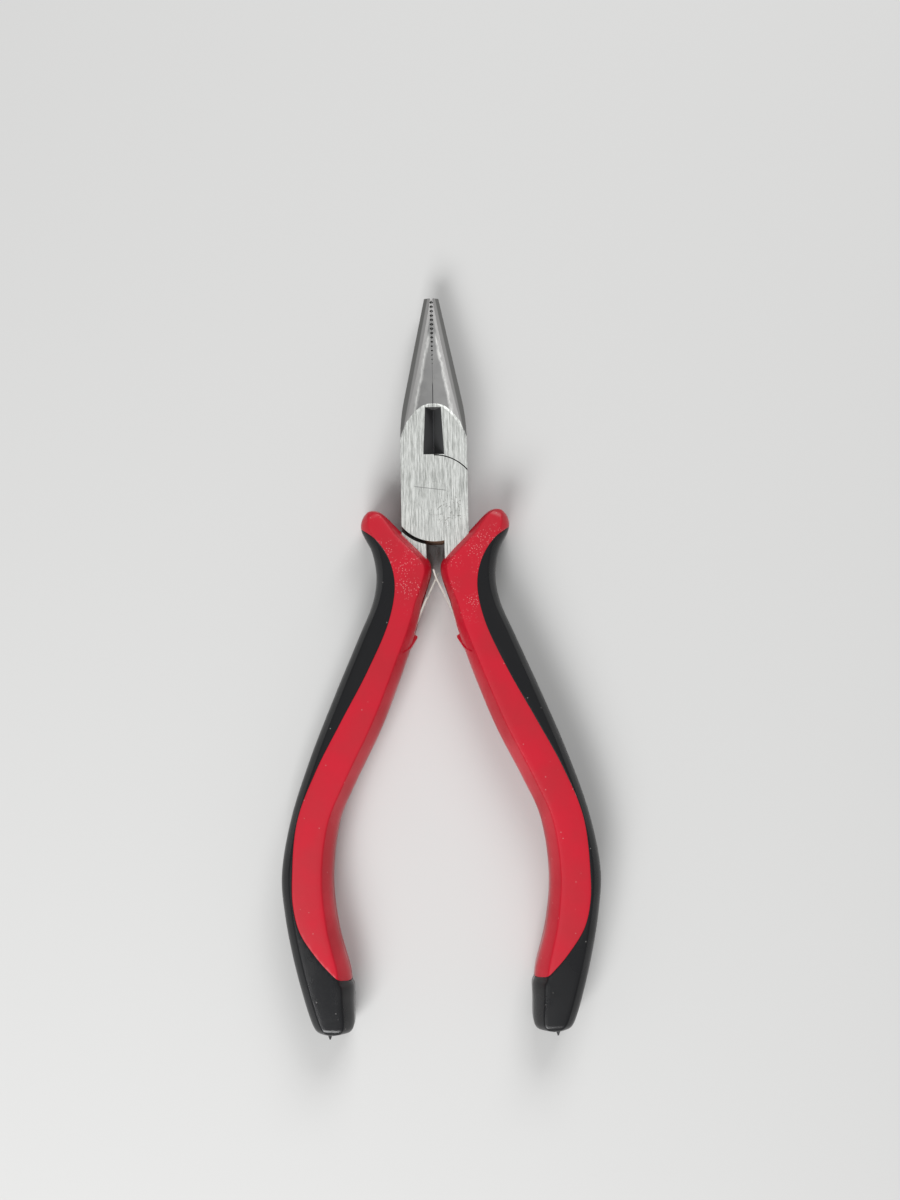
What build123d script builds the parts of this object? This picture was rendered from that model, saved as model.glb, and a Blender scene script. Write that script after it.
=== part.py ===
from build123d import *
import os
from math import sqrt

# Mini long-nose pliers with a side cutter, crossed leaf springs and two-colour grips.
# Millimetres. The pivot axis is Z through the origin, +Y runs to the jaw tips, +Z is the
# front of the tool, and z = 0 is the back ground flat of the joint. The jaws are closed.

# ---------------------------------------------------------------- driving dimensions
# Head: both jaws and the lap joint.
head_thickness = 7.6  # over the two ground flats
head_width = 11.9  # across the joint
jaw_length = 36.7  # pivot to the cut-off tips
tip_width = 2.6  # both jaws together
tip_thickness = 2.0
nose_taper = 0.207  # each side draws in this much per mm
head_blend = 38.0  # radius between the tapered nose and the straight sides
flat_end = 16.9  # where the ground flat ends on the centre line
crown_radius = 26.0  # the nose is slightly barrelled across
ridge_low = (4.75, 14.3)  # a bevelled edge band begins beside this point of the nose
ridge_high = (1.15, 31.0)
bevel_slope = 0.62

# Lap joint.
plate_radius = 7.7  # round ends of the two joint plates
shoulder_gap = 0.2  # jaw shoulder stands off the plate
tang_gap = 0.65  # tang shoulder stands off the plate
lap_clearance = 0.05  # between the two plates
seam = 0.04  # between the closed jaws
rivet_radius = 2.3
rivet_head_radius = 3.0
rivet_clearance = 0.03

# Jaw teeth and cutter.
tooth_pitch = 0.82
tooth_count = 16
tooth_depth = 0.34
tooth_depth_last = 0.1
open_teeth = 8  # the grooves nearest the tip keep their full depth
cutter_high = 16.4
cutter_half_low = 1.88  # half width of the cutter's mouth at the joint
cutter_half_high = 1.43
cutter_land = 0.12  # half thickness of the cutting edge

# Tangs, which run inside the grips.
slot_half = 1.65  # half the gap between the tangs
slot_beyond_plate = 3.3  # the tangs' inner faces stay parallel this far below the plates
tang_thickness = 6.0
neck_cover = 0.58  # the full head thickness ends this far inside the collar

# Leaf springs.
leaf_width = 5.0
leaf_thickness = 0.35
leaf_seat = 0.01  # the foot lies this close to the tang
foot_top = (4.5, -24.6)
foot_bottom = (7.2, -30.6)
fork_tip = (-0.46, -12.56)
tongue_tip = (0.45, -13.09)
leaf_crossing = 14.06
tongue_width = 1.8
tongue_clearance = 0.2
leaf_split = 17.6  # slot and tongue begin here
slot_end_bar = 0.5
spring_rivet_radius = 0.8
spring_rivet_head = 1.25
spring_rivet_head_height = 0.2
spring_rivet_length = 2.2

# Grips.
grip_thickness = 11.2
collar_clearance = 0.8  # the grip's slanted top edge clears the joint plate
collar_corner = 0.88  # from the centre line to the collar's inner corner
end_corner_inner = 0.07  # the end's round corners are this much taller than the bevel
end_corner_outer = 0.48
flare_reach = 13.2  # the finger guard's outer end
flare_rise = 6.9
handle_reach = 28.1  # centre line to the outside of a grip
bow_length = 69.4  # from the spring ledge to the end of the grip
edge_bevel = 1.6  # on the front and back edges of the grips
ledge_top = (4.15, -24.2)
ledge_point = (3.35, -24.8)
ledge_foot = (4.1, -25.4)
window_clearance = 0.2  # the leaf lies in a window of the grip
foot_room = 0.28  # tunnel over the leaf's foot
sleeve_wall = 1.2  # red plastic round the tang under the black skin
nib_radius = 0.55
nib_height = 0.8

# ---------------------------------------------------------------- derived places
mid = head_thickness / 2
shoulder_radius = plate_radius + shoulder_gap
cutter_low = shoulder_radius
slot_straight = plate_radius + slot_beyond_plate
tang_radius = plate_radius + tang_gap
half_width = head_width / 2
taper_corner = jaw_length - (half_width - tip_width / 2) / nose_taper
slant = (plate_radius + collar_clearance) * sqrt(2)  # the collar's slanted edge is x - y = slant
tang_neck = slant + neck_cover
grip_end = ledge_point[1] - bow_length
turn_over = Axis((0, 0, mid), (0, 1, 0))
foot_length = sqrt((foot_bottom[0] - foot_top[0]) ** 2 + (foot_bottom[1] - foot_top[1]) ** 2)
foot_along = Vector(foot_bottom[0] - foot_top[0], foot_bottom[1] - foot_top[1]) / foot_length
foot_across = Vector(-foot_along.Y, foot_along.X)  # points into the tang


def beside_foot(point, away):
    """A point of the foot's line moved square to it, away from the centre line of the tool."""
    return (point[0] + foot_across.X * away, point[1] + foot_across.Y * away)


tang_seat = leaf_thickness / 2 + leaf_seat
seat_top = beside_foot(foot_top, tang_seat)
seat_bottom = beside_foot(foot_bottom, tang_seat)


def bow_point(share_down, share_out):
    """A point of a grip, as shares of the bow's length below the ledge and of the reach."""
    return (handle_reach * share_out, ledge_point[1] - bow_length * share_down)


def collar_point(out, below):
    """A point of the collar, by its depth below the place where the slanted edge meets x = 0."""
    return (out, -slant - below)


flare_end = collar_point(flare_reach, -flare_rise)
# Edges of the bow, from the ledge to the end of the grip.
grip_inner = [
    bow_point(0.11, 0.246),
    bow_point(0.235, 0.37),
    bow_point(0.365, 0.53),
    bow_point(0.46, 0.633),
    bow_point(0.61, 0.683),
    bow_point(0.735, 0.652),
    bow_point(0.84, 0.583),
    bow_point(0.92, 0.567),
]
grip_outer = [
    bow_point(0.135, 0.642),
    bow_point(0.31, 0.818),
    bow_point(0.46, 0.94),
    bow_point(0.6, 1.0),
    bow_point(0.7, 0.988),
    bow_point(0.815, 0.938),
    bow_point(0.915, 0.861),
]
grip_waist = [collar_point(11.4, -2.82), collar_point(10.6, 1.78), collar_point(11.3, 6.38), (13.9, -24.6)]
collar_inner = [collar_point(3.1, 7.88), collar_point(1.8, 4.38), collar_point(collar_corner, 1.1)]
# Edges of a tang inside its grip.
tang_inner = [bow_point(0.22, 0.42), bow_point(0.4, 0.64), bow_point(0.6, 0.775), bow_point(0.8, 0.74)]
tang_outer = [bow_point(0.8, 0.83), bow_point(0.6, 0.885), bow_point(0.4, 0.765), bow_point(0.2, 0.55)]
tang_end = bow_point(0.86, 0.735)
tang_foot = bow_point(0.86, 0.805)
tang_neck_outer = [(9.4, -24.0), (7.3, -17.0)]
# The black strip's edge on the front face, from the finger guard to the inner side of the end.
strip_edge = [
    collar_point(13.6, -6.72),
    collar_point(10.4, -4.52),
    collar_point(8.2, -1.02),
    collar_point(7.4, 3.38),
    collar_point(8.6, 9.68),
    bow_point(0.085, 0.441),
    bow_point(0.21, 0.609),
    bow_point(0.335, 0.772),
    bow_point(0.46, 0.893),
    bow_point(0.6, 0.929),
    bow_point(0.74, 0.868),
    bow_point(0.82, 0.745),
    bow_point(0.88, 0.55),
]
rivet_place = foot_along * (foot_length / 2) + Vector(*foot_top)
rivet_plane = Plane(
    origin=(rivet_place.X, rivet_place.Y, mid),
    z_dir=(foot_across.X, foot_across.Y, 0),
)

os.makedirs("parts", exist_ok=True)


# ---------------------------------------------------------------- steel halves
def nose_height(y):
    """Half the height of the nose on the centre line, which falls towards the tips."""
    fall = (mid - tip_thickness / 2) / (jaw_length - flat_end)
    return mid + (flat_end - y) * fall


def nose_ridge(point):
    """Height of the crowned nose surface over the middle of its thickness at a ridge point."""
    return nose_height(point[1]) - point[0] ** 2 / (1.5 * crown_radius)


with BuildSketch() as head_outline:
    with BuildLine():
        Polyline(
            (-tip_width / 2, jaw_length),
            (tip_width / 2, jaw_length),
            (half_width, taper_corner),
            (half_width, -slot_straight),
            (-half_width, -slot_straight),
            (-half_width, taper_corner),
            close=True,
        )
    make_face()
    fillet(head_outline.vertices().filter_by(lambda v: abs(v.Y - taper_corner) < 0.01), radius=head_blend)

with BuildPart() as crown:
    for y, side in ((-slot_straight - 1, 0.85 * head_width), (jaw_length + 1, tip_width + 0.4)):
        drop = side**2 / (2 * crown_radius)
        top = mid + nose_height(y)
        bottom = mid - nose_height(y)
        with BuildSketch(Plane.XZ.offset(-y)):
            with BuildLine():
                upper = ThreePointArc((side, top - drop), (0, top), (-side, top - drop))
                left = Line(upper @ 1, (-side, bottom + drop))
                lower = ThreePointArc(left @ 1, (0, bottom), (side, bottom + drop))
                Line(lower @ 1, upper @ 0)
            make_face()
    loft(ruled=True)

with BuildSketch() as tang_outline:
    with BuildLine():
        throat = Polyline(
            (half_width, -plate_radius - 2),
            (slot_half, -plate_radius - 2),
            (slot_half, -slot_straight),
            seat_top,
            seat_bottom,
        )
        tangents = [(foot_along.X, foot_along.Y), (-0.1, -1)]
        inside = Spline(throat @ 1, *tang_inner, tang_end, tangents=tangents)
        outside = Spline(tang_foot, *tang_outer, *tang_neck_outer)
        Line(inside @ 1, outside @ 0)
        Polyline(outside @ 1, (half_width, -slot_straight), (half_width, -plate_radius - 2))
    make_face()

with BuildPart() as front_blank:
    with BuildSketch():
        add(head_outline.sketch)
    extrude(amount=head_thickness)
    add(crown.part, mode=Mode.INTERSECT)
    # Bevelled bands along the four long edges of the nose.
    for side in (1, -1):
        for face in (1, -1):
            low = Vector(side * ridge_low[0], ridge_low[1], mid + face * nose_ridge(ridge_low))
            high = Vector(side * ridge_high[0], ridge_high[1], mid + face * nose_ridge(ridge_high))
            outward = Vector(side * (ridge_low[0] + 1), ridge_low[1], low.Z - face * bevel_slope)
            normal = (high - low).cross(outward - low)
            if normal.Z * face < 0:
                normal = -normal
            split(bisect_by=Plane(origin=low, z_dir=normal), keep=Keep.BOTTOM)
    # The other half's jaw, and everything beside this half's tang.
    with BuildSketch():
        with Locations((head_width - seam / 2, jaw_length)):
            Rectangle(2 * head_width, 2 * jaw_length)
        Circle(plate_radius, mode=Mode.SUBTRACT)
    extrude(amount=head_thickness, mode=Mode.SUBTRACT)
    with BuildSketch():
        with Locations((slot_half - head_width, -head_width)):
            Rectangle(2 * head_width, 2 * head_width)
        Circle(plate_radius, mode=Mode.SUBTRACT)
    extrude(amount=head_thickness, mode=Mode.SUBTRACT)
    # Room behind this half's plate for the other plate.
    with BuildSketch():
        Circle(shoulder_radius)
        with Locations((0, -head_width)):
            Rectangle(2 * head_width, 2 * head_width, mode=Mode.SUBTRACT)
    extrude(amount=mid + lap_clearance / 2, mode=Mode.SUBTRACT)
    with BuildSketch():
        Circle(tang_radius)
        with Locations((0, head_width)):
            Rectangle(2 * head_width, 2 * head_width, mode=Mode.SUBTRACT)
    extrude(amount=mid + lap_clearance / 2, mode=Mode.SUBTRACT)
    # Cutting edge, bevelled from the front and from the back.
    for face in (1, -1):
        for y in (cutter_low, cutter_high):
            mouth = cutter_half_low if y == cutter_low else cutter_half_high
            deep = mid - cutter_land
            with BuildSketch(Plane.XZ.offset(-y)):
                with BuildLine():
                    Polyline(
                        (0, mid + face * cutter_land),
                        (-mouth * 1.3, mid + face * (cutter_land + deep * 1.3)),
                        (mouth, mid + face * (cutter_land + deep * 1.3)),
                        (mouth, mid + face * cutter_land),
                        close=True,
                    )
                make_face()
        loft(ruled=True, mode=Mode.SUBTRACT)
    # Teeth: grooves across the gripping face, fading towards the cutter.
    with BuildSketch():
        for index in range(tooth_count):
            fade = max(0, index - open_teeth + 1) / (tooth_count - open_teeth)
            depth = tooth_depth + (tooth_depth_last - tooth_depth) * fade
            middle = jaw_length - index * tooth_pitch
            with BuildLine():
                Polyline(
                    (seam, middle + depth + seam),
                    (-depth - seam / 2, middle),
                    (seam, middle - depth - seam),
                    close=True,
                )
            make_face()
    extrude(amount=head_thickness, mode=Mode.SUBTRACT)
    # Rivet hole, countersunk at the front flat.
    with Locations((0, 0, head_thickness)):
        CounterSinkHole(rivet_radius, rivet_head_radius, counter_sink_angle=90)
    # Tang: full thickness at the neck, thinner inside the grip.
    with BuildSketch():
        add(tang_outline.sketch)
    extrude(amount=head_thickness)
    with BuildSketch():
        with Locations((0, -tang_neck - bow_length)):
            Rectangle(4 * handle_reach, 2 * bow_length)
    extrude(amount=mid - tang_thickness / 2, mode=Mode.SUBTRACT)
    with BuildSketch(Plane.XY.offset(mid + tang_thickness / 2)):
        with Locations((0, -tang_neck - bow_length)):
            Rectangle(4 * handle_reach, 2 * bow_length)
    extrude(amount=head_thickness, mode=Mode.SUBTRACT)

# The bore for a spring rivet, through the leaf's foot into the tang.
with BuildPart() as rivet_bore:
    with BuildSketch(rivet_plane.offset(-leaf_thickness)):
        Circle(spring_rivet_radius)
    extrude(amount=leaf_thickness + spring_rivet_length + rivet_clearance)

with BuildPart() as front_half:
    add(front_blank.part)
    add(rivet_bore.part, mode=Mode.SUBTRACT)

with BuildPart() as back_half:
    add(front_half.part.rotate(turn_over, 180))

with BuildPart() as pivot_rivet:
    with BuildSketch(Plane.XZ):
        with BuildLine():
            shaft = rivet_radius - rivet_clearance
            head = rivet_head_radius - rivet_clearance
            Polyline(
                (0, 0),
                (head, 0),
                (shaft, head - shaft),
                (shaft, head_thickness - head + shaft),
                (head, head_thickness),
                (0, head_thickness),
                close=True,
            )
        make_face()
    revolve(axis=Axis.Z)


# ---------------------------------------------------------------- leaf springs
def leaf(tip):
    """One bent leaf, foot on the right-hand tang and its free end at tip."""
    with BuildPart() as blank:
        with BuildSketch(Plane.XY.offset(mid - leaf_width / 2)):
            with BuildLine():
                foot = Line(foot_bottom, foot_top)
                Spline(foot @ 1, (3.38, -20.5), (0, -leaf_crossing), tip, tangents=[foot % 1, (tip[0], 1.5)])
            trace(line_width=leaf_thickness)
        extrude(amount=leaf_width)
    return blank.part


right_blank = leaf(fork_tip)
left_blank = leaf((-tongue_tip[0], tongue_tip[1]))

with BuildPart() as right_leaf_spring:
    add(right_blank)
    # The slot that the other leaf's tongue passes through.
    slot_top = -fork_tip[1] + slot_end_bar
    with Locations((0, -(leaf_split + slot_top) / 2, mid)):
        Box(
            4 * slot_half,
            leaf_split - slot_top,
            tongue_width + 2 * tongue_clearance,
            mode=Mode.SUBTRACT,
        )
    add(rivet_bore.part, mode=Mode.SUBTRACT)

with BuildPart() as left_leaf_spring:
    add(left_blank.rotate(turn_over, 180))
    # The leaf narrows to a tongue.
    for face in (1, -1):
        waste = (leaf_width - tongue_width) / 2
        with Locations((0, -leaf_split + jaw_length / 2, mid + face * (tongue_width + waste) / 2)):
            Box(6 * slot_half, jaw_length, waste, mode=Mode.SUBTRACT)
    add(rivet_bore.part.rotate(turn_over, 180), mode=Mode.SUBTRACT)

with BuildPart() as right_spring_rivet:
    with BuildSketch(rivet_plane.offset(-leaf_thickness / 2 - spring_rivet_head_height)):
        Circle(spring_rivet_head)
    extrude(amount=spring_rivet_head_height)
    with BuildSketch(rivet_plane.offset(-leaf_thickness / 2)):
        Circle(spring_rivet_radius - rivet_clearance)
    extrude(amount=spring_rivet_length)

with BuildPart() as left_spring_rivet:
    add(right_spring_rivet.part.rotate(turn_over, 180))


# ---------------------------------------------------------------- grips
def inward(points, inset):
    """Points of an edge that runs clockwise, each moved square to it into the grip."""
    moved = []
    for index, point in enumerate(points):
        before = points[max(index - 1, 0)]
        after = points[min(index + 1, len(points) - 1)]
        along = Vector(after[0] - before[0], after[1] - before[1]).normalized()
        moved.append((point[0] + along.Y * inset, point[1] - along.X * inset))
    return moved


slant_low = 1.4  # its ends, measured from the centre line
slant_high = flare_end[0] - 3.5
top_edge = [(slant_low, slant_low - slant), (slant_high, slant_high - slant)]
end_outer = (bow_point(1, 0.828)[0], grip_end + edge_bevel + end_corner_outer)
back_edge = [flare_end, *grip_waist, *grip_outer, end_outer]
bottom_edge = [bow_point(1, 0.74), bow_point(1, 0.63)]
end_inner = (bow_point(1, 0.568)[0], grip_end + edge_bevel + end_corner_inner)
front_edge = [end_inner, *reversed(grip_inner), ledge_foot, *collar_inner]


def grip_profile(inset):
    """Closed outline of a grip, drawn in by inset all round."""
    with BuildLine() as profile:
        top = Line(*inward(top_edge, inset))
        back_points = inward(back_edge, inset)
        TangentArc(top @ 1, back_points[0], tangent=(1, 1))
        back = Spline(*back_points)
        bottom_points = inward(bottom_edge, inset)
        TangentArc(back @ 1, bottom_points[0], tangent=back % 1)
        bottom = Line(*bottom_points)
        front_points = inward(front_edge, inset)
        TangentArc(bottom @ 1, front_points[0], tangent=bottom % 1)
        front = Spline(*front_points)
        TangentArc(front @ 1, top @ 0, tangent=front % 1)
    return profile.line


with BuildSketch() as ledge_outline:
    with BuildLine():
        Polyline(
            ledge_top,
            ledge_point,
            ledge_foot,
            (ledge_foot[0] + sleeve_wall, ledge_foot[1]),
            (ledge_top[0] + sleeve_wall, ledge_top[1]),
            close=True,
        )
    make_face()

with BuildSketch() as strip_region:
    with BuildLine():
        edge = Spline(*strip_edge)
        Polyline(
            edge @ 1,
            (0, edge.position_at(1).Y),
            (0, grip_end - handle_reach),
            (2 * handle_reach, grip_end - handle_reach),
            (2 * handle_reach, edge.position_at(0).Y),
            edge @ 0,
        )
    make_face()

with BuildPart() as grip_form:
    side = grip_thickness / 2 - edge_bevel
    outer_face = (side + edge_bevel, edge_bevel)
    for height, inset in ((-side - edge_bevel, edge_bevel), (-side, 0), (side, 0), outer_face):
        with BuildSketch(Plane.XY.offset(mid + height)):
            with BuildLine():
                add(grip_profile(inset))
            make_face()
    loft(ruled=True)
    with BuildSketch(Plane.XY.offset(mid - side)):
        add(ledge_outline.sketch)
    extrude(amount=2 * side)

with BuildPart() as leaf_room:
    # The window over the free leaf.
    with BuildSketch(Plane.XY.offset(mid - leaf_width / 2 - window_clearance)):
        with BuildLine():
            Polyline(
                (-half_width, -plate_radius),
                (slot_half, -plate_radius),
                (slot_half, -slot_straight),
                seat_top,
                (ledge_top[0], ledge_top[1] - leaf_seat),
                (-half_width, ledge_top[1] - leaf_seat),
                close=True,
            )
        make_face()
    extrude(amount=leaf_width + 2 * window_clearance)
    # The tunnel over its foot.
    with BuildSketch(Plane.XY.offset(mid - leaf_width / 2 - window_clearance)):
        with BuildLine():
            Polyline(
                beside_foot(foot_top, tang_seat + leaf_seat),
                beside_foot(foot_bottom, tang_seat + leaf_seat),
                beside_foot(foot_bottom, -leaf_thickness / 2 - foot_room),
                beside_foot(foot_top, -leaf_thickness / 2 - foot_room),
                (foot_top[0] - 2 * foot_room, ledge_top[1]),
                (seat_top[0], ledge_top[1]),
                close=True,
            )
        make_face()
    extrude(amount=leaf_width + 2 * window_clearance)

with BuildPart() as sleeve:
    with BuildSketch(Plane.XY.offset(mid - tang_thickness / 2 - sleeve_wall)):
        with BuildLine():
            down = [seat_bottom, *tang_inner, tang_end, (tang_end[0], tang_end[1] - sleeve_wall)]
            up = [(tang_foot[0], tang_foot[1] - sleeve_wall), tang_foot, *tang_outer, *tang_neck_outer]
            near = Spline(*inward(down, sleeve_wall))
            far = Spline(*inward(up, sleeve_wall))
            Line(near @ 1, far @ 0)
            Line(far @ 1, near @ 0)
        make_face()
    extrude(amount=tang_thickness + 2 * sleeve_wall)

with BuildPart() as strip_zone:
    with BuildSketch(Plane.XY.offset(mid - grip_thickness)):
        add(strip_region.sketch)
    extrude(amount=2 * grip_thickness)
    add(sleeve.part, mode=Mode.SUBTRACT)

with BuildPart() as right_grip_cover:
    add(grip_form.part)
    add(strip_zone.part, mode=Mode.INTERSECT)
    add(front_blank.part, mode=Mode.SUBTRACT)
    with Locations((bow_point(1, 0.69)[0], grip_end, mid)):
        Cylinder(
            nib_radius,
            nib_height,
            rotation=(90, 0, 0),
            align=(Align.CENTER, Align.CENTER, Align.MIN),
        )

with BuildPart() as right_grip_core:
    add(grip_form.part)
    add(strip_zone.part, mode=Mode.SUBTRACT)
    add(front_blank.part, mode=Mode.SUBTRACT)
    add(leaf_room.part, mode=Mode.SUBTRACT)

with BuildPart() as left_grip_core:
    add(right_grip_core.part.rotate(turn_over, 180))

with BuildPart() as left_grip_cover:
    add(right_grip_cover.part.rotate(turn_over, 180))


# ---------------------------------------------------------------- write the pieces
pieces = {
    "front_half": front_half,
    "back_half": back_half,
    "pivot_rivet": pivot_rivet,
    "right_leaf_spring": right_leaf_spring,
    "left_leaf_spring": left_leaf_spring,
    "right_spring_rivet": right_spring_rivet,
    "left_spring_rivet": left_spring_rivet,
    "right_grip_core": right_grip_core,
    "left_grip_core": left_grip_core,
    "right_grip_cover": right_grip_cover,
    "left_grip_cover": left_grip_cover,
}
for name, piece in pieces.items():
    piece.part.label = name
    export_step(piece.part, f"parts/{name}.step")
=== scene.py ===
import math

import bmesh
import bpy
import numpy as np
from mathutils import Matrix, Vector


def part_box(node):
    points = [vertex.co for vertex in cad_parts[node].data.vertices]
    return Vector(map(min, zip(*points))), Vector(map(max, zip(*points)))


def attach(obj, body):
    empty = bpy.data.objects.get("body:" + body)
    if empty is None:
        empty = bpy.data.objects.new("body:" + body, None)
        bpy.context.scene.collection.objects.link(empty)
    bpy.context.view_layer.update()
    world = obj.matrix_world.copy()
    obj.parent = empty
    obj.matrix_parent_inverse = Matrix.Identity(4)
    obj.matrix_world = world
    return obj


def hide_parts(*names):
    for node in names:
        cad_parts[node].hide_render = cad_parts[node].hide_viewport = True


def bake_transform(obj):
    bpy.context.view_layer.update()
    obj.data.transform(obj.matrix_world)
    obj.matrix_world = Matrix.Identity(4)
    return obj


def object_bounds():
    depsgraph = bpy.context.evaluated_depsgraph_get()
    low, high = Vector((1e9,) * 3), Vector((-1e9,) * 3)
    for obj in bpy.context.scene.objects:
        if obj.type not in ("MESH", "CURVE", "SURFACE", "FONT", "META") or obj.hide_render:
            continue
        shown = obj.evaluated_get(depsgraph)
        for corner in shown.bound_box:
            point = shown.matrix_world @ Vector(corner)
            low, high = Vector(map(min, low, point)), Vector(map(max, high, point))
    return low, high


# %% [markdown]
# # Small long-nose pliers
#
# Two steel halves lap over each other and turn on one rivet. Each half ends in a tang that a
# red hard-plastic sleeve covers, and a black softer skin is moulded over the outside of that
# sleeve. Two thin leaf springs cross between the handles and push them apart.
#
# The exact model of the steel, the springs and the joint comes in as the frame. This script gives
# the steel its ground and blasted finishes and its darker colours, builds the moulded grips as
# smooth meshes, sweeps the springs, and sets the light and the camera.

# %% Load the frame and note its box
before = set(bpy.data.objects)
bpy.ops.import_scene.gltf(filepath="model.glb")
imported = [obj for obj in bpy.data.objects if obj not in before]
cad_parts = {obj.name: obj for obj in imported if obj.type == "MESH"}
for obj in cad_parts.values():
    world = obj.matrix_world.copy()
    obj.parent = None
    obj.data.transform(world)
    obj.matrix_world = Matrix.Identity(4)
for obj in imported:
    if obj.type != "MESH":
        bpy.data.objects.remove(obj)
cad_low, cad_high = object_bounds()
MM = 0.001
print("CAD box in mm:", [round(v / MM, 2) for v in (*cad_low, *cad_high)])

# %% [markdown]
# The sizes that the pieces share are read from the frame once, in millimetres, because a hand
# tool is easier to think about in millimetres than in metres.

# %% Shared sizes
head_low, head_high = (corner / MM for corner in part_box("front_half"))
grip_low, grip_high = (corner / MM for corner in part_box("right_grip_cover"))
leaf_low, leaf_high = (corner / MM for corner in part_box("right_leaf_spring"))
HEAD_THICK = head_high.z - head_low.z
MID = HEAD_THICK / 2
GRIP_THICK = grip_high.z - grip_low.z
REACH = grip_high.x
NIB = 0.8  # the frame's stub under each grip
GRIP_END = grip_low.y + NIB
JAW_TIP = head_high.y
BOW_TOP = -24.8  # the bow of a grip begins here, at the ledge over the spring's foot
print("head", round(HEAD_THICK, 2), "grip", round(GRIP_THICK, 2), "reach", round(REACH, 2))


# %% [markdown]
# ## Helpers for shader nodes
#
# A material is a small graph. These helpers add a node, link it and return its output, so that
# each finish below reads as a short recipe. Shader groups hold the effects that several
# finishes share.

# %% An empty node group
def new_group(name, inputs, outputs, tree="ShaderNodeTree"):
    """A node group with named inputs (name, kind, default) and outputs (name, kind)."""
    group = bpy.data.node_groups.new(name, tree)
    add_socket = group.interface.new_socket
    for label, kind, default in inputs:
        socket = add_socket(name=label, in_out="INPUT", socket_type=f"NodeSocket{kind}")
        if default is not None:
            socket.default_value = default
    for label, kind in outputs:
        add_socket(name=label, in_out="OUTPUT", socket_type=f"NodeSocket{kind}")
    return group


def group_ends(group):
    """The input node and the output node of a group."""
    return group.nodes.new("NodeGroupInput"), group.nodes.new("NodeGroupOutput")


# %% [markdown]
# Most of a finish is arithmetic: a distance is worked out, turned into a mask from nought to
# one, and the mask mixes two colours. The class below has one short word for each such step.

# %% A graph with short words
class Graph:
    """A node tree with short ways to add the nodes that the finishes use."""

    def __init__(self, tree):
        self.tree = tree

    def add(self, kind, inputs=None, **settings):
        node = self.tree.nodes.new(kind)
        for key, value in settings.items():
            setattr(node, key, value)
        for key, value in (inputs or {}).items():
            self.feed(node.inputs[key], value)
        return node

    def feed(self, socket, value):
        """Links a socket, or a node's first output, into a socket, or sets its value."""
        if isinstance(value, bpy.types.NodeSocket):
            self.tree.links.new(value, socket)
        elif isinstance(value, bpy.types.Node):
            self.tree.links.new(value.outputs[0], socket)
        else:
            socket.default_value = value

    def math(self, operation, *values, clamp=False):
        inputs = dict(enumerate(values))
        return self.add("ShaderNodeMath", inputs, operation=operation, use_clamp=clamp).outputs[0]

    def plus(self, first, second):
        return self.math("ADD", first, second)

    def minus(self, first, second):
        return self.math("SUBTRACT", first, second)

    def times(self, first, second):
        return self.math("MULTIPLY", first, second)

    def stretch(self, place, amounts):
        """A place multiplied axis by axis."""
        inputs = {0: place, 1: amounts}
        return self.add("ShaderNodeVectorMath", inputs, operation="MULTIPLY").outputs[0]

    def ramp(self, value, low, high, to_low=0.0, to_high=1.0):
        """Value between low and high, smoothly mapped to to_low ... to_high."""
        inputs = dict(enumerate((value, low, high, to_low, to_high)))
        return self.add("ShaderNodeMapRange", inputs, interpolation_type="SMOOTHSTEP").outputs[0]

    def fade(self, value, low, high):
        """A mask that is one below low and nought above high."""
        return self.ramp(value, low, high, 1.0, 0.0)

    def band(self, value, low, high, soft):
        """A mask that is one between low and high."""
        rise = self.ramp(value, low - soft, low + soft)
        return self.times(rise, self.fade(value, high - soft, high + soft))

    def mix(self, factor, first, second):
        """Colours mixed by a factor."""
        inputs = {0: factor, 6: first, 7: second}
        return self.add("ShaderNodeMix", inputs, data_type="RGBA").outputs[2]

    def blend(self, factor, first, second):
        """Numbers mixed by a factor."""
        inputs = {0: factor, 2: first, 3: second}
        return self.add("ShaderNodeMix", inputs, data_type="FLOAT").outputs[0]

    def noise(self, place, scale, detail=2.0, roughness=0.5):
        inputs = {"Vector": place, "Scale": scale, "Detail": detail, "Roughness": roughness}
        return self.add("ShaderNodeTexNoise", inputs).outputs[0]


# %% [markdown]
# ## Shared effects
#
# Grinding leaves long scratches along the tool. They are noise that is stretched along one
# direction: the place is squeezed along Y before it is read, so each speck becomes a streak.
# The group gives a height for bump and a mask for colour and roughness.

# %% Group: grinding scratches
scratches = new_group(
    "grinding_scratches",
    [("Place mm", "Vector", None), ("Across", "Float", 6.0), ("Along", "Float", 0.25)],
    [("Height", "Float"), ("Streaks", "Float")],
)
ends, out = group_ends(scratches)
g = Graph(scratches)
squeeze = {0: ends.outputs[1], 1: ends.outputs[2], 2: ends.outputs[1]}
stretched = g.stretch(ends.outputs[0], g.add("ShaderNodeCombineXYZ", squeeze))
broad = g.noise(stretched, 1.0, 2.0, 0.6)
fine = g.noise(stretched, 3.7, 3.0, 0.7)
g.feed(out.inputs[0], g.plus(g.times(broad, 0.5), fine))
g.feed(out.inputs[1], g.ramp(g.plus(g.times(broad, 0.45), g.times(fine, 0.55)), 0.36, 0.64))
print("group", scratches.name, "with", len(scratches.nodes), "nodes")

# %% [markdown]
# Moulded plastic and blasted steel both have a fine even grain. A moulded grip also has broad,
# faint waves from the tool and a little dust and rubbing. One group gives all three.

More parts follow.
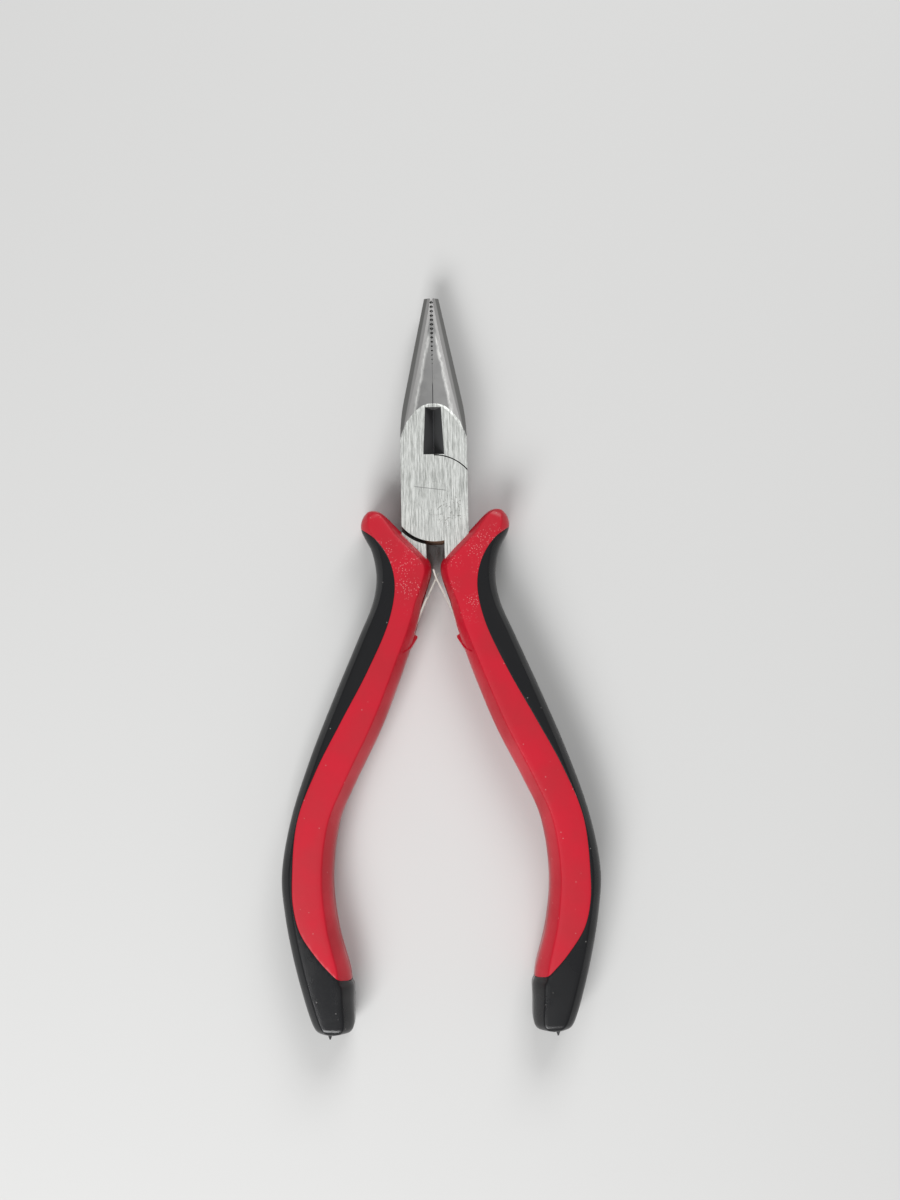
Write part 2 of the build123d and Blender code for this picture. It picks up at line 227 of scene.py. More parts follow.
# %% Group: fine grain
grain = new_group(
    "fine_grain",
    [("Place mm", "Vector", None), ("Grains per mm", "Float", 6.0), ("Wave per mm", "Float", 0.15)],
    [("Height", "Float"), ("Cloud", "Float"), ("Specks", "Float")],
)
ends, out = group_ends(grain)
g = Graph(grain)
cells = g.add("ShaderNodeTexVoronoi", {"Vector": ends.outputs[0], "Scale": ends.outputs[1]})
pits = g.noise(ends.outputs[0], ends.outputs[1], 3.0, 0.65)
g.feed(out.inputs[0], g.plus(g.times(cells.outputs[0], 0.6), pits))
g.feed(out.inputs[1], g.noise(ends.outputs[0], ends.outputs[2], 3.0, 0.5))
dots = g.add("ShaderNodeTexVoronoi", {"Vector": ends.outputs[0], "Scale": 0.55})
g.feed(out.inputs[2], g.fade(dots.outputs[0], 0.035, 0.075))
print("group", grain.name, "with", len(grain.nodes), "nodes")


# %% [markdown]
# Every finish starts in the same way: a Principled shader, and the place on the piece. The
# place is in millimetres, so a scale of 3 in a noise means three grains to the millimetre.

# %% Material helpers
def new_material(name):
    """A material with its Principled shader, and the place on the piece in millimetres."""
    material = bpy.data.materials.new(name)
    material.use_nodes = True
    material.node_tree.nodes.clear()
    graph = Graph(material.node_tree)
    shader = graph.add("ShaderNodeBsdfPrincipled")
    output = graph.add("ShaderNodeOutputMaterial")
    graph.feed(output.inputs[0], shader)
    place = graph.add("ShaderNodeTexCoord").outputs["Object"]
    return material, graph, shader, graph.stretch(place, (1 / MM, 1 / MM, 1 / MM))


def use_group(graph, group, inputs):
    return graph.add("ShaderNodeGroup", inputs, node_tree=group).outputs


def add_bump(graph, shader, height, distance, strength):
    inputs = {"Height": height, "Distance": distance, "Strength": strength}
    graph.feed(shader.inputs["Normal"], graph.add("ShaderNodeBump", inputs))


def paint(piece, material):
    """Makes this the piece's only material."""
    piece.data.materials.clear()
    piece.data.materials.append(material)


# %% [markdown]
# ## Finishes of the steel
#
# One forging carries two finishes, and darker colours are laid over some places. The two broad
# flats over the joint are ground bright and the nose and the sides are blasted to a satin grey. The
# cutter's mouth is coloured near black, and the hollow between the tangs is painted brown as shade.
# Each finish and colour owns a region of the piece, so masks are worked out from the place on the
# piece, and the shader mixes between them.

# %% Where each finish lies on the steel, in mm
FLAT_END = 16.9  # the flat meets the nose here on the centre line
MOUTH = (7.85, 16.36)  # the cutter's mouth, along the tool
MOUTH_HALF = 1.95
HOLLOW_TOP = (-7.5, -7.0)  # the hollow between the tangs begins between these
HOLLOW_HALF = (1.75, 2.0)
SEAM_HALF = (0.03, 0.11)  # beside the centre line a seam or an edge fades between these
TEETH_FROM = 22.0
TOOTH_HALF = (0.38, 0.46)
RUST_PLACE = (2.6, -2.3, HEAD_THICK)
RUST_REACH = (1.5, 4.0)


# %% [markdown]
# The flats are found by depth: only a ground face lies a full half of the head's thickness from
# the middle. The mouth and the hollow are found by their place, below the flats.

# %% Masks: flats, cutter's mouth and painted shade in the hollow
def head_masks(g, side, y, depth):
    """Masks of the flats, the cutter's mouth, the painted highlight on its cutting edges and the
    painted shade of the hollow.
    """
    # Grinding runs out a little further up the two sides of the nose.
    flat = g.ramp(g.plus(depth, g.times(side, 0.024)), MID - 0.02, MID - 0.008)
    below_flat = g.minus(1.0, flat)
    mouth = g.times(g.band(y, *MOUTH, 0.04), g.fade(side, MOUTH_HALF, MOUTH_HALF + 0.1))
    mouth = g.times(mouth, below_flat)
    # The hollow between the tangs is painted dark brown as shade.
    hollow_shade = g.times(g.fade(y, *HOLLOW_TOP), g.fade(side, *HOLLOW_HALF))
    # Along the cutting edges the mouth is painted lighter, a painted highlight.
    return flat, mouth, g.times(mouth, g.fade(side, *SEAM_HALF)), g.times(hollow_shade, below_flat)


# %% [markdown]
# The gaps between the teeth are too narrow for light to reach into. Their walls are found by
# comparing the depth with the height that the nose's crowned surface has at that place.

# %% Masks: teeth and seam
TIP_HALF = 1.0  # half the thickness of the jaws at the tip
NOSE_FALL = (MID - TIP_HALF) / (JAW_TIP - FLAT_END)
CROWN_RADIUS = 26.0
print("the nose falls", round(NOSE_FALL, 3), "mm for each mm along")


def seam_masks(g, x, side, y, depth):
    """Masks of the shaded walls between the teeth and of the painted shade in the open seam beside
    the cutter.
    """
    surface = g.plus(g.times(g.minus(FLAT_END, y), NOSE_FALL), MID)
    surface = g.minus(surface, g.math("DIVIDE", g.times(x, x), 2 * CROWN_RADIUS))
    sunk = g.ramp(g.minus(surface, depth), 0.05, 0.16)
    tooth = g.times(sunk, g.ramp(y, TEETH_FROM, TEETH_FROM + 1))
    # The jaws do not quite close next to the cutter, so painted shade darkens their seam there.
    seam_shade = g.times(g.fade(side, *SEAM_HALF), g.fade(y, FLAT_END + 3.5, FLAT_END + 4.2))
    seam_shade = g.times(seam_shade, g.ramp(y, FLAT_END - 0.6, FLAT_END - 0.4))
    return g.times(tooth, g.fade(side, *TOOTH_HALF)), seam_shade


# %% [markdown]
# Two slanting ridges of the nose, one on each jaw, get a painted highlight. Outside each ridge a
# strip is painted paler, and outside that the side is painted darker as shade. A little noise keeps
# the bright line from being straight.

# %% Masks: painted highlight on the ridge, painted light on the shoulder and painted shade on the sides of the nose
# The painted highlight follows this line on each jaw.
RIDGE_TOP, RIDGE_LOW = (0.95, 29.5), (3.9, 14.3)
RIDGE_LEAN = (RIDGE_LOW[0] - RIDGE_TOP[0]) / (RIDGE_TOP[1] - RIDGE_LOW[1])
SHOULDER = 1.1  # width of the paler strip outside the ridge
print("the ridge leans", round(RIDGE_LEAN, 3), "mm for each mm along")


def nose_masks(g, side, y, cloud, lines):
    """Masks of the painted highlight on the ridge, of the painted light on the shoulder outside it
    and of the painted shade on the side.
    """
    ridge_at = g.plus(g.times(g.minus(RIDGE_TOP[1], y), RIDGE_LEAN), RIDGE_TOP[0])
    beyond = g.minus(side, ridge_at)
    wavy = g.plus(beyond, g.times(cloud, 0.7))
    along = g.band(y, RIDGE_LOW[1] - 1.5, RIDGE_TOP[1], 1.2)
    # The painted highlight along the ridge.
    ridge_highlight = g.times(g.band(wavy, -0.15, 0.25, 0.32), along)
    ridge_highlight = g.times(ridge_highlight, g.ramp(lines, 0.0, 1.0, 0.45, 1.0))
    # A strip painted lighter outside the ridge, and painted shade on the side beyond it.
    shoulder_light = g.times(g.band(beyond, 0.0, SHOULDER, 0.12), g.ramp(y, 12.0, 14.0))
    side_shade = g.times(g.ramp(beyond, SHOULDER, SHOULDER + 0.12), g.ramp(y, 11.0, 13.0))
    return ridge_highlight, shoulder_light, side_shade


# %% [markdown]
# Bright steel shows every mark. Here a patch of fine rust spots lies low on the right of the
# joint, and one hairline scratch runs across the rivet. Each is a mask that mixes in a darker
# colour.

# %% Colour of the ground flats
HAIRLINE_LEAN, HAIRLINE_HEIGHT = -0.135, 1.7
HAIRLINE_MIDDLE, HAIRLINE_HALF = -0.75, (2.6, 3.0)


def ground_colour(g, place, x, y, lines):
    ground = g.mix(lines, (0.29, 0.30, 0.285, 1), (0.88, 0.90, 0.87, 1))
    dots = g.noise(place, 3.0, 2.0, 0.6)
    away = g.add("ShaderNodeVectorMath", {0: place, 1: RUST_PLACE}, operation="DISTANCE").outputs[1]
    rust = g.times(g.ramp(dots, 0.6, 0.66), g.ramp(away, *RUST_REACH, 1.0, 0.12))
    ground = g.mix(g.times(rust, 0.8), ground, (0.12, 0.115, 0.10, 1))
    above = g.minus(y, g.plus(g.times(x, HAIRLINE_LEAN), HAIRLINE_HEIGHT))
    along = g.math("ABSOLUTE", g.minus(x, HAIRLINE_MIDDLE))
    hairline = g.times(g.band(above, -0.05, 0.05, 0.04), g.fade(along, *HAIRLINE_HALF))
    return g.mix(g.times(hairline, 0.9), ground, (0.15, 0.15, 0.15, 1))


# %% [markdown]
# The blasted nose is satin grey with soft clouds. The painted light of the shoulder, the painted
# shade of the side and the painted highlight of the ridge are laid over it one after the other.

# %% Colour of the blasted nose
def satin_colour(g, cloud, ridge_highlight, shoulder_light, side_shade):
    satin = g.mix(cloud, (0.155, 0.155, 0.155, 1), (0.235, 0.235, 0.23, 1))
    # Painted light on the shoulder, painted shade on the side and a painted highlight on the ridge.
    satin = g.mix(g.times(shoulder_light, 0.7), satin, (0.36, 0.355, 0.35, 1))
    satin = g.mix(g.times(side_shade, 0.8), satin, (0.14, 0.14, 0.135, 1))
    return g.mix(g.times(ridge_highlight, 0.75), satin, (0.80, 0.80, 0.78, 1))


# %% [markdown]
# Now the recipe is short. The masks are worked out, the two colours are mixed by the flat's mask,
# and the darker places are laid over them, along with a painted highlight on the cutting edges. The
# hollow, the seam and the gaps between the teeth take painted shade. Ground steel is a little more
# mirror-like than blasted steel, and the dark places are dull.

# %% Material: forged and ground steel
def steel_material():
    material, g, shader, place = new_material("forged_steel")
    x, y, z = g.add("ShaderNodeSeparateXYZ", {0: place}).outputs
    side = g.math("ABSOLUTE", x)
    depth = g.math("ABSOLUTE", g.minus(z, MID))
    streaks = use_group(g, scratches, {"Place mm": place, "Across": 4.2, "Along": 0.16})
    blast = use_group(g, grain, {"Place mm": place, "Grains per mm": 6.0, "Wave per mm": 0.5})
    lines, cloud = streaks["Streaks"], blast["Cloud"]

    flat, mouth, cutting_edge_highlight, hollow_shade = head_masks(g, side, y, depth)
    tooth, seam_shade = seam_masks(g, x, side, y, depth)
    ridge_highlight, shoulder_light, side_shade = nose_masks(g, side, y, cloud, lines)
    satin = satin_colour(g, cloud, ridge_highlight, shoulder_light, side_shade)
    colour = g.mix(flat, satin, ground_colour(g, place, x, y, lines))
    # Laid over the steel: the near-black mouth, a painted highlight on the cutting edges, and
    # painted shade in the hollow, in the seam and between the teeth.
    for mask, shade in (
        (mouth, (0.08, 0.081, 0.083, 1)),
        (cutting_edge_highlight, (0.22, 0.23, 0.24, 1)),
        (hollow_shade, (0.18, 0.10, 0.06, 1)),
        (seam_shade, (0.03, 0.03, 0.032, 1)),
        (tooth, (0.045, 0.045, 0.047, 1)),
    ):
        colour = g.mix(mask, colour, shade)
    g.feed(shader.inputs["Base Color"], colour)

    dull = g.math("MAXIMUM", g.math("ADD", mouth, hollow_shade, clamp=True), tooth)
    g.feed(shader.inputs["Metallic"], g.blend(dull, g.blend(flat, 0.45, 0.5), 0.2))
    rough = g.blend(flat, g.blend(ridge_highlight, 0.5, 0.44), g.blend(lines, 0.5, 0.36))
    g.feed(shader.inputs["Roughness"], g.blend(dull, rough, 0.55))
    height = g.blend(flat, g.times(blast["Height"], 0.6), streaks["Height"])
    add_bump(g, shader, height, 0.014 * MM, 0.9)
    return material


STEEL = steel_material()
for node in ("front_half", "back_half", "pivot_rivet"):
    paint(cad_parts[node], STEEL)
print("steel:", len(STEEL.node_tree.nodes), "nodes")


# %% [markdown]
# Spring strip is rolled bright, with short fine rolling lines. The two small rivets that hold
# the springs' feet are the same bright steel.

# %% Material: spring strip
def strip_material():
    material, g, shader, place = new_material("spring_strip")
    streaks = use_group(g, scratches, {"Place mm": place, "Across": 9.0, "Along": 0.8})
    colour = g.mix(streaks["Streaks"], (0.62, 0.58, 0.52, 1), (0.92, 0.89, 0.83, 1))
    g.feed(shader.inputs["Base Color"], colour)
    shader.inputs["Metallic"].default_value = 0.5
    g.feed(shader.inputs["Roughness"], g.blend(streaks["Streaks"], 0.36, 0.24))
    add_bump(g, shader, streaks["Height"], 0.006 * MM, 0.6)
    return material


STRIP = strip_material()
for node in ("right_spring_rivet", "left_spring_rivet"):
    paint(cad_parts[node], STRIP)
print("strip:", len(STRIP.node_tree.nodes), "nodes")


# %% [markdown]
# ## Finishes of the grips
#
# Both plastics come out of a spark-eroded mould, so they have a fine even grain. The red is a
# hard plastic, and its collar is rubbed, which shows as paler frosted dots. The black skin was
# moulded against a smoother face, so it is the glossier of the two, and dust shows on it more.

# %% Materials: red and black plastic
COLLAR_PLACE = (-21.0, -5.0)  # along the tool, in mm


def plastic_material(name, deep, light, roughness, dust, frost):
    """A moulded plastic with some dust anywhere and some frosted dots on the collar."""
    material, g, shader, place = new_material(name)
    skin = use_group(g, grain, {"Place mm": place, "Grains per mm": 7.0, "Wave per mm": 0.12})
    colour = g.mix(g.ramp(skin["Cloud"], 0.3, 0.7), deep, light)
    colour = g.mix(g.times(skin["Specks"], dust), colour, (0.55, 0.53, 0.5, 1))
    dots = g.add("ShaderNodeTexVoronoi", {"Vector": place, "Scale": 2.9}).outputs[0]
    rubbed = g.times(g.fade(dots, 0.16, 0.3), g.ramp(g.noise(place, 0.3), 0.42, 0.6))
    down = g.add("ShaderNodeSeparateXYZ", {0: place}).outputs[1]
    rubbed = g.times(rubbed, g.band(down, *COLLAR_PLACE, 2.5))
    colour = g.mix(g.times(rubbed, frost), colour, (0.75, 0.42, 0.42, 1))
    g.feed(shader.inputs["Base Color"], colour)
    worn = g.ramp(skin["Cloud"], 0.35, 0.65, roughness + 0.06, roughness - 0.05)
    g.feed(shader.inputs["Roughness"], worn)
    shader.inputs["IOR"].default_value = 1.46
    add_bump(g, shader, skin["Height"], 0.02 * MM, 0.55)
    return material


RED = plastic_material(
    "red_plastic",
    deep=(0.42, 0.004, 0.016, 1),
    light=(0.50, 0.008, 0.024, 1),
    roughness=0.36,
    dust=0.25,
    frost=0.45,
)
BLACK = plastic_material(
    "black_plastic",
    deep=(0.003, 0.0033, 0.0042, 1),
    light=(0.008, 0.0083, 0.0095, 1),
    roughness=0.28,
    dust=0.3,
    frost=0.0,
)
print("plastics", RED.name, BLACK.name)


# %% [markdown]
# ## The grips
#
# A grip is a long moulded form whose cross-section changes all the way down: a round finger
# guard at the top, a slanted collar, a narrow waist, a bow and a blunt end. A maker would
# draw its two edges in front view and then sweep a rounded section between them, and that is
# how the mesh is made. Each row of the mesh is one cross-section between a point of the inner
# edge and the matching point of the outer edge. The red and the black are two closed meshes
# that share the rows and part along one curve.

# %% Edges of a grip, in front view
def bow(share_down, share_out):
    """A point of the right-hand grip, by its share of the bow's length and of the reach."""
    return (REACH * share_out, BOW_TOP + (GRIP_END - BOW_TOP) * share_down)


COLLAR = 8.5 * math.sqrt(2)  # the collar's slanted edge is the line x - y = COLLAR
INNER = [
    (11.9, -2.25),
    (11.1, -2.0),
    (10.3, -2.15),
    (9.3, 9.3 - COLLAR),
    (5.0, 5.0 - COLLAR),
    (2.6, 2.6 - COLLAR),
    (1.45, -10.7),
    (0.98, -11.5),
    (0.84, -12.3),
    (0.87, -13.0),
    (1.1, -14.0),
    (1.8, -16.2),
    (2.52, -18.4),
    (2.95, -20.4),
    (3.42, -22.2),
    (4.02, -24.2),
    bow(0.11, 0.246),
    bow(0.235, 0.37),
    bow(0.365, 0.53),
    bow(0.46, 0.633),
    bow(0.61, 0.683),
    bow(0.735, 0.652),
    bow(0.84, 0.583),
    bow(0.868, 0.573),
    bow(0.879, 0.561),
    bow(0.92, 0.561),
    bow(0.971, 0.561),
    bow(0.986, 0.569),
    bow(0.9965, 0.59),
    bow(1.0, 0.625),
]
OUTER = [
    (11.9, -2.25),
    (12.65, -2.95),
    (13.2, -4.4),
    (13.1, -5.7),
    (12.5, -7.0),
    (11.4, -9.2),
    (10.6, -13.8),
    (11.3, -18.4),
    (13.9, -24.6),
    bow(0.135, 0.642),
    bow(0.31, 0.818),
    bow(0.46, 0.94),
    bow(0.6, 1.0),
    bow(0.7, 0.982),
    bow(0.815, 0.93),
    bow(0.915, 0.867),
    bow(0.958, 0.834),
    bow(0.98, 0.812),
    bow(0.993, 0.79),
    bow(1.0, 0.758),
]
PARTING = [
    (13.6, -5.0),
    (10.4, -7.5),
    (8.2, -11.0),
    (7.3, -15.4),
    (8.4, -21.7),
    bow(0.085, 0.441),
    bow(0.21, 0.609),
    bow(0.335, 0.772),
    bow(0.46, 0.893),
    bow(0.6, 0.929),
    bow(0.675, 0.925),
    bow(0.74, 0.885),
    bow(0.8, 0.79),
    bow(0.838, 0.71),
    bow(0.86, 0.65),
    bow(0.865, 0.6),
    bow(0.865, 0.5),
]
print("edge points:", len(INNER), "inner,", len(OUTER), "outer,", len(PARTING), "parting")


# %% [markdown]
# The points are listed and stand far apart. The curve through them is a Catmull-Rom curve whose
# time runs with the square root of the distance, because that kind neither overshoots nor loops
# where points stand close together.

# %% Smooth curve through the given points
EDGE_STEP = 0.25  # mm between points of a finished edge
SAMPLES = 24  # of the curve between two given points


def between(first, second, start, end, t):
    """The point at time t on the line that leaves first at start and reaches second at end."""
    return (end - t) / (end - start) * first + (t - start) / (end - start) * second


def read_at(places, known, points):
    """Points read off a line at some places, where its own points lie at the known ones."""
    return np.column_stack([np.interp(places, known, points[:, k]) for k in (0, 1)])


def smooth(points, spacing=EDGE_STEP):
    """Points at an even spacing along a smooth curve through the given ones."""
    given = np.array(points, float)
    padded = np.vstack([2 * given[0] - given[1], given, 2 * given[-1] - given[-2]])
    fine = []
    for a, b, c, d in zip(padded, padded[1:], padded[2:], padded[3:]):
        pairs = ((a, b), (b, c), (c, d))
        times = [math.sqrt(max(np.linalg.norm(q - p), 1e-6)) for p, q in pairs]
        t0, t1, t2, t3 = np.cumsum([0, *times])
        for t in np.linspace(t1, t2, SAMPLES, endpoint=False):
            a1 = between(a, b, t0, t1, t)
            a2 = between(b, c, t1, t2, t)
            a3 = between(c, d, t2, t3, t)
            b1 = between(a1, a2, t0, t2, t)
            b2 = between(a2, a3, t1, t3, t)
            fine.append(between(b1, b2, t1, t2, t))
    fine = np.array([*fine, given[-1]])
    along = np.concatenate([[0], np.cumsum(np.linalg.norm(np.diff(fine, axis=0), axis=1))])
    even = np.linspace(0, along[-1], max(2, round(along[-1] / spacing)))
    return read_at(even, along, fine)


inner_edge, outer_edge = smooth(INNER), smooth(OUTER)
for name, edge in (("inner", inner_edge), ("outer", outer_edge)):
    print(name, "edge:", round(len(edge) * EDGE_STEP, 1), "mm")

# %% [markdown]
# A row joins the point of the inner edge and the point of the outer edge that lie at the same
# share of the edge's length. Rows stand closer together at the two ends, where the form turns
# round.

# %% Rows: matching points of the two edges
ROWS = 330
CROWDING = 0.55


def resample(edge, shares):
    """Points of an edge at these shares of its length."""
    return read_at(shares * (len(edge) - 1), range(len(edge)), edge)


steps = np.linspace(0, 1, ROWS)
shares = steps - CROWDING * np.sin(2 * math.pi * steps) / (2 * math.pi)
inner_points = resample(inner_edge, shares)
outer_points = resample(outer_edge, shares)
print("rows:", len(inner_points))

# %% [markdown]
# The red sleeve is moulded first and the black skin over it, so the two meet along one smooth
# line. Each row is cut where it crosses that line: the inner part is red and the outer black.

# %% Where the parting line crosses each row
parting_line = smooth(PARTING, 0.1)
SHORTEST_ROW = 0.05  # mm; a shorter row is a point and has no crossing
SLACK = 0.02  # share by which a crossing may lie past a row's end


def parting_share(start, end):
    """How far along the row from start to end the parting line crosses it, or None."""
    row = end - start
    square = np.array([-row[1], row[0]])
    sides = (parting_line - start) @ square
    for k in np.nonzero(sides[:-1] * sides[1:] <= 0)[0]:
        a, b = sides[k], sides[k + 1]
        part_way = a / (a - b) if a != b else 0
        point = parting_line[k] + (parting_line[k + 1] - parting_line[k]) * part_way
        share = (point - start) @ row / (row @ row)
        if -SLACK <= share <= 1 + SLACK:
            return min(max(share, 0.0), 1.0)
    return None


crossings = [
    parting_share(a, b) if np.linalg.norm(b - a) > SHORTEST_ROW else None
    for a, b in zip(inner_points, outer_points)
]
crossed = [k for k, share in enumerate(crossings) if share is not None]
first_black, last_red = crossed[0], crossed[-1]
part_at = [1.0] * first_black
for k in range(first_black, ROWS):
    found = crossings[k] if k <= last_red else 0.0
    part_at.append(part_at[-1] if found is None else found)
print("black begins at row", first_black, "and red ends at row", last_red)

# %% [markdown]
# The section is a bar with a crowned front face. Beside the inner edge a steep facet falls away
# from a soft ridge, and beside the outer edge a bevel does. The facet is narrow at the collar
# and wider down the bow. Near both ends of the grip the whole section gets thinner, so the ends
# are rounded too.

# %% Sizes of the section, in mm
FACET_PLACES = (GRIP_END, -90.0, -84.0, -78.0, -70.0, -45.0, -28.0, -17.0, -6.0, -3.0, 0.0)
FACET_WIDTHS = (1.6, 1.9, 2.2, 1.9, 1.8, 2.2, 1.9, 1.35, 1.2, 0.5, 0.35)
FACET_STEEP = 1.5  # fall for each mm across
BEVEL_WIDTH = 1.5
BEVEL_STEEP = 0.95
RIDGE_ROUND = 0.22  # half the width over which a ridge turns
EDGE_ROUND = 0.7  # radius where the front turns into the side
CROWN = 0.16
END_ROUND = (1.8, 1.2)  # at the finger guard and at the black end
MOST = {"facet": 0.4, "bevel": 0.36, "edge": 0.45}  # greatest shares of a narrow row


def edge_radius(width):
    return min(EDGE_ROUND, MOST["edge"] * width)


def row_size(row):
    """Width of a row, of its inner facet and of its outer bevel."""
    width = max(np.linalg.norm(outer_points[row] - inner_points[row]), 1e-6)
    facet = np.interp(inner_points[row][1], FACET_PLACES, FACET_WIDTHS)
    return width, min(facet, MOST["facet"] * width), min(BEVEL_WIDTH, MOST["bevel"] * width)


print("middle row, its facet and its bevel:", [round(float(v), 2) for v in row_size(ROWS // 2)])


# %% [markdown]
# The front face starts as a shallow crown. Each facet, each rounded edge and each rounded end
# takes a drop off it, and the drops are summed, so they run into each other softly.

# %% Height of the front face over the middle of a grip
def fall(inside, width, steep):
    """Drop of a facet of this width, at a distance inside the edge, with a rounded ridge."""
    beyond = width - inside
    round_by = min(RIDGE_ROUND, width / 3)
    if beyond <= -round_by:
        return 0.0
    if beyond >= round_by:
        return steep * beyond
    return steep * (beyond + round_by) ** 2 / (4 * round_by)


def rounding(inside, radius):
    """Drop of a quarter-round edge at a distance inside it."""
    if inside >= radius:
        return 0.0
    return radius - math.sqrt(max(0.0, radius**2 - (radius - inside) ** 2))


def face_height(row, share):
    """Height of the front face over the middle, at a share of the way across a row."""
    width, facet, bevel = row_size(row)
    from_in, from_out = share * width, (1 - share) * width
    height = GRIP_THICK / 2 - CROWN * (2 * share - 1) ** 2
    height -= fall(from_in, facet, FACET_STEEP) + fall(from_out, bevel, BEVEL_STEEP)
    height -= rounding(min(from_in, from_out), edge_radius(width))
    middle = (inner_points[row] + outer_points[row]) / 2
    from_top = np.linalg.norm(middle - inner_points[0])
    from_bottom = middle[1] - GRIP_END
    return height - rounding(from_top, END_ROUND[0]) - rounding(from_bottom, END_ROUND[1])


print("height at the middle of the grip:", round(float(face_height(ROWS // 2, 0.5)), 2), "mm")


# %% [markdown]
# A mesh shows a ridge only where it has points beside it. The samples across a row crowd at the
# ridges and at the edges, and a few even ones fill the middle.

# %% Where a row is sampled
NEAR_EDGE = (0, 0.04, 0.14, 0.33, 0.62, 1.0)  # shares of the edge's radius
OVER_RIDGE = (-1, -0.5, 0, 0.5, 1)  # shares of the ridge's rounding


def across_row(row):
    """Shares of a row's width where it is sampled."""
    width, facet, bevel = row_size(row)
    facet_round = min(RIDGE_ROUND, facet / 3)
    bevel_round = min(RIDGE_ROUND, bevel / 3)
    edge = edge_radius(width)
    inner = [edge * t for t in NEAR_EDGE] + [facet + facet_round * t for t in OVER_RIDGE]
    outer = [width - edge * t for t in NEAR_EDGE]
    outer += [width - bevel - bevel_round * t for t in OVER_RIDGE]
    middle = np.linspace(facet + facet_round, width - bevel - bevel_round, 8)[1:-1]
    return np.sort([*inner, *middle, *outer]) / width


print("samples across a row:", len(across_row(ROWS // 2)))


# %% [markdown]
# ## Mesh helpers
#
# A moulding is one closed skin. Rings with the same number of points are joined by quads, which
# gives even shading along the grip, and a fan closes each end.

# %% One closed mesh from rows of equal rings
WELD = 0.002 * MM


def add_to_scene(name, data):
    """A new object that shows this data."""
    piece = bpy.data.objects.new(name, data)
    bpy.context.scene.collection.objects.link(piece)
    return piece


def to_piece(name, mesh):
    """A new piece with the faces of an editing mesh, which is freed."""
    data = bpy.data.meshes.new(name)
    mesh.to_mesh(data)
    mesh.free()
    return add_to_scene(name, data)


def weld(mesh):
    """Joins points that coincide and turns every face outward."""
    bmesh.ops.remove_doubles(mesh, verts=mesh.verts, dist=WELD)
    bmesh.ops.recalc_face_normals(mesh, faces=mesh.faces)


def shade_smooth(piece):
    piece.data.polygons.foreach_set("use_smooth", [True] * len(piece.data.polygons))


def ring_mesh(name, rings):
    """A closed tube through rings of points, capped with a fan at both ends."""
    mesh = bmesh.new()
    rows = [[mesh.verts.new(Vector(point) * MM) for point in ring] for ring in rings]
    count = len(rows[0])
    for upper, lower in zip(rows, rows[1:]):
        for k in range(count):
            after = (k + 1) % count
            mesh.faces.new((upper[k], upper[after], lower[after], lower[k]))
    for ring in (rows[0], rows[-1]):
        centre = mesh.verts.new(sum((v.co for v in ring), Vector()) / count)
        for k in range(count):
            mesh.faces.new((ring[k], ring[(k + 1) % count], centre))
    weld(mesh)
    piece = to_piece(name, mesh)
    shade_smooth(piece)
    return piece


# %% [markdown]
# Each colour takes its own part of every row. Where the two plastics meet, both dip a little, so
# a fine groove follows the parting line as it does on a two-shot moulding.

# %% Rings of one colour
SIDE_POINTS = 8  # down a side wall, its two corners included
SEAM_DIP = 0.06
SEAM_WIDTH = 0.14
THIN = 1e-4  # a colour keeps at least this share of a row's width


def ring(row, low, high, seam_low, seam_high):
    """Points round the part of a section between two shares of its width."""
    start, end = inner_points[row], outer_points[row]
    width = row_size(row)[0]
    lip = min(SEAM_WIDTH / width, 0.3 * (high - low))
    lip_low = lip if seam_low else 0.0
    lip_high = lip if seam_high else 0.0
    inside = np.clip(across_row(row), low + lip_low, high - lip_high)
    across = [low, low + lip_low / 2, *inside, high - lip_high / 2, high]

    def point(share, up):
        place = start + (end - start) * share
        height = face_height(row, share)
        if seam_low:
            height -= SEAM_DIP * max(0.0, 1 - (share - low) * width / SEAM_WIDTH) ** 2
        if seam_high:
            height -= SEAM_DIP * max(0.0, 1 - (high - share) * width / SEAM_WIDTH) ** 2
        return (place[0], place[1], MID + up * height)

    front = [point(share, 1) for share in across]
    down = [point(high, up) for up in np.linspace(1, -1, SIDE_POINTS)[1:-1]]
    back = [point(share, -1) for share in reversed(across)]
    upward = [point(low, up) for up in np.linspace(-1, 1, SIDE_POINTS)[1:-1]]
    return front + down + back + upward


def red_ring(row):
    return ring(row, 0.0, max(part_at[row], THIN), False, part_at[row] < 1 - THIN)


def black_ring(row):
    return ring(row, min(part_at[row], 1 - THIN), 1.0, part_at[row] > THIN, False)


red_right = ring_mesh("right_grip_red", [red_ring(row) for row in range(last_red + 1)])
black_right = ring_mesh("right_grip_black", [black_ring(row) for row in range(first_black, ROWS)])
print("red", len(red_right.data.polygons), "faces, black", len(black_right.data.polygons), "faces")


# %% [markdown]
# The red sleeve has a window on its inner side, in which the leaf spring lies. Its lower end
# stops at a small ledge that hoods the spring's foot. Both are straight-sided features, so a
# prism is added and a prism is cut away with exact booleans.

# %% Prisms and booleans
def prism(name, outline, low, high):
    """A straight prism along Z, from an outline that runs either way round."""
    mesh = bmesh.new()
    base = mesh.faces.new([mesh.verts.new(Vector((px, py, low)) * MM) for px, py in outline])
    top = bmesh.ops.extrude_face_region(mesh, geom=[base])["geom"]
    lifted = [item for item in top if isinstance(item, bmesh.types.BMVert)]
    bmesh.ops.translate(mesh, vec=Vector((0, 0, (high - low) * MM)), verts=lifted)
    bmesh.ops.recalc_face_normals(mesh, faces=mesh.faces)
    return to_piece(name, mesh)


def apply_modifiers(piece):
    """Keeps what the piece's modifiers make as its own mesh."""
    bpy.context.view_layer.update()
    evaluated = piece.evaluated_get(bpy.context.evaluated_depsgraph_get())
    mesh = bpy.data.meshes.new_from_object(evaluated)
    piece.modifiers.clear()
    piece.data = mesh


